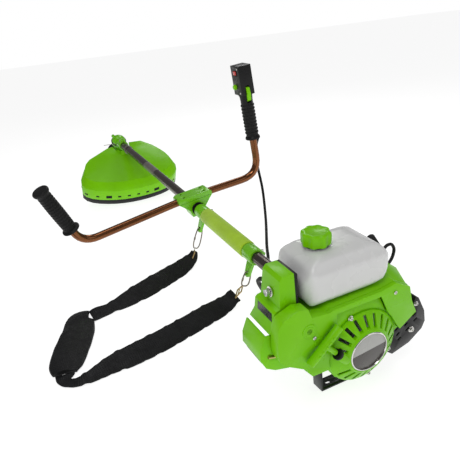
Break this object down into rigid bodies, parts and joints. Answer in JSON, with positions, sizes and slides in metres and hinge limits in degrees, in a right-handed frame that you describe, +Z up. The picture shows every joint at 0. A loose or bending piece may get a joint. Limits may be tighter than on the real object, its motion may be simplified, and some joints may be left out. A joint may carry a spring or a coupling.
{
  "type": "brush cutter",
  "caption": "Petrol brush cutter with a rear engine, straight shaft, bicycle handlebar, guarded cutting head and a carrying harness.",
  "frame": {"origin": "under the middle of the engine stand's foot, on the floor that the machine stands on", "axes": "+X from the engine along the shaft to the cutting head, level with the floor, +Y to the operator's left, +Z up"},
  "size_m": [1.6795, 0.7047, 0.5198],
  "materials": {
    "green_plastic": "glossy lime green moulding",
    "black_plastic": "satin black moulding",
    "black_rubber": "matt black rubber",
    "tank_plastic": "milky white blow-moulded tank",
    "steel": "plain steel",
    "black_steel": "black painted steel",
    "cast_metal": "die-cast aluminium",
    "bronze_tube": "brown anodised tube",
    "copper_tube": "copper brown metallic paint",
    "foam": "yellow-green foam sleeve",
    "filter_foam": "open-cell filter foam",
    "red_plastic": "red button",
    "green_metal": "lime green painted casting",
    "badge": "grey badge with no lettering",
    "webbing": "black woven webbing"
  },
  "bodies": {
    "machine": {"recoil_cover": "green_plastic", "recoil_badge": "badge", "engine_cover": "green_plastic", "crankcase": "cast_metal", "cylinder": "cast_metal", "ignition_coil": "black_plastic", "spark_plug": "steel", "plug_boot": "black_rubber", "ignition_lead": "black_rubber", "fuel_tank": "tank_plastic", "air_filter_cover": "green_plastic", "air_filter_base": "black_plastic", "air_filter_element": "filter_foam", "air_filter_screw": "steel", "carburettor": "cast_metal", "leg_guard": "green_plastic", "muffler": "steel", "muffler_guard": "black_steel", "clutch_housing": "black_plastic", "engine_stand": "black_steel", "shaft_tube": "bronze_tube", "shaft_bush": "black_plastic", "foam_sleeve": "foam", "rear_hanger": "green_metal", "front_hanger": "green_metal", "clamp_base": "green_metal", "clamp_cap": "green_metal", "handlebar": "copper_tube", "left_grip": "black_rubber", "throttle_handle": "black_plastic", "throttle_cable": "black_rubber", "gearcase": "green_metal", "guard": "green_plastic", "guard_skirt": "black_plastic", "strap_front": "webbing", "shoulder_pad": "webbing", "strap_rear": "webbing", "strap_buckle": "steel"},
    "crank": {"crankshaft": "steel", "flywheel_fan": "cast_metal", "clutch_shoes": "steel"},
    "piston": {"piston": "steel"},
    "drive": {"clutch_drum": "steel", "drive_shaft": "steel", "pinion_gear": "steel"},
    "cutting_head": {"output_gear": "steel", "trimmer_head": "black_plastic"},
    "bump_button": {"bump_knob": "black_plastic"},
    "pull_handle": {"starter_handle": "green_plastic", "starter_rope": "webbing"},
    "rope_pulley": {"starter_pulley": "black_plastic"},
    "fuel_cap": {"fuel_cap": "green_plastic"},
    "choke": {"choke_lever": "black_plastic"},
    "trigger": {"throttle_trigger": "black_plastic"},
    "lockout": {"lockout_lever": "green_plastic"},
    "stop_button": {"stop_switch": "red_plastic"},
    "rear_ring": {"rear_hook": "steel"},
    "front_ring": {"front_hook": "steel"}
  },
  "joints": [
    {"name": "crank_spin", "type": "hinge", "parent": "machine", "child": "crank", "pos_m": [0.03552, 0, 0.10719], "axis": [0.9968, 0, 0.0802], "continuous": true},
    {"name": "piston_stroke", "type": "slide", "parent": "machine", "child": "piston", "axis": [-0.0516, -0.766, 0.6407], "range_m": [-0.03, 0]},
    {"name": "head_spin", "type": "hinge", "parent": "machine", "child": "cutting_head", "pos_m": [1.54283, 0, 0.17634], "axis": [-0.5678, 0, 0.8231], "continuous": true},
    {"name": "shaft_spin", "type": "hinge", "parent": "machine", "child": "drive", "pos_m": [0.82098, 0, 0.17039], "axis": [0.9968, 0, 0.0802], "continuous": true},
    {"name": "bump_press", "type": "slide", "parent": "cutting_head", "child": "bump_button", "axis": [-0.5678, 0, 0.8231], "range_m": [0, 0.007], "stiffness_N_per_m": 900, "springref_m": -0.002},
    {"name": "pull_start", "type": "slide", "parent": "machine", "child": "pull_handle", "axis": [-0.0592, 0.6749, 0.7355], "range_m": [0, 0.7], "stiffness_N_per_m": 6, "springref_m": -0.6},
    {"name": "pulley_turn", "type": "hinge", "parent": "machine", "child": "rope_pulley", "pos_m": [-0.06735, 0, 0.09892], "axis": [0.9968, 0, 0.0802], "range_deg": [0, 1300]},
    {"name": "cap_turn", "type": "hinge", "parent": "machine", "child": "fuel_cap", "pos_m": [-0.01162, 0.047, 0.29402], "axis": [-0.0802, 0, 0.9968], "range_deg": [0, 270]},
    {"name": "choke_turn", "type": "hinge", "parent": "machine", "child": "choke", "pos_m": [0.03732, 0.086, 0.18459], "axis": [0.9968, 0, 0.0802], "range_deg": [-60, 0]},
    {"name": "trigger_pull", "type": "hinge", "parent": "machine", "child": "trigger", "pos_m": [0.66042, -0.18427, 0.45965], "axis": [-0.0325, -0.9948, 0.0962], "range_deg": [-14, 0], "stiffness_Nm_per_rad": 0.4, "springref_deg": 8.59},
    {"name": "lockout_press", "type": "hinge", "parent": "machine", "child": "lockout", "pos_m": [0.62849, -0.18341, 0.45777], "axis": [-0.0325, -0.9948, 0.0962], "range_deg": [0, 7], "stiffness_Nm_per_rad": 0.3, "springref_deg": -5.73},
    {"name": "stop_press", "type": "slide", "parent": "machine", "child": "stop_button", "axis": [-0.0325, -0.9948, 0.0962], "range_m": [0, 0.003], "stiffness_N_per_m": 700, "springref_m": -0.002},
    {"name": "rear_ring_swing", "type": "hinge", "parent": "machine", "child": "rear_ring", "pos_m": [0.32207, 0.01573, 0.08688], "axis": [-0.0274, 0.9397, 0.3409], "range_deg": [-25, 25]},
    {"name": "front_ring_swing", "type": "hinge", "parent": "machine", "child": "front_ring", "pos_m": [0.60316, 0.01573, 0.1095], "axis": [-0.0274, 0.9397, 0.3409], "range_deg": [-25, 25]}
  ],
  "couplings": [
    {"joint": "shaft_spin", "follows": "head_spin", "ratio": 1.3485},
    {"joint": "pulley_turn", "follows": "pull_start", "rad_per_m": 32.3}
  ]
}
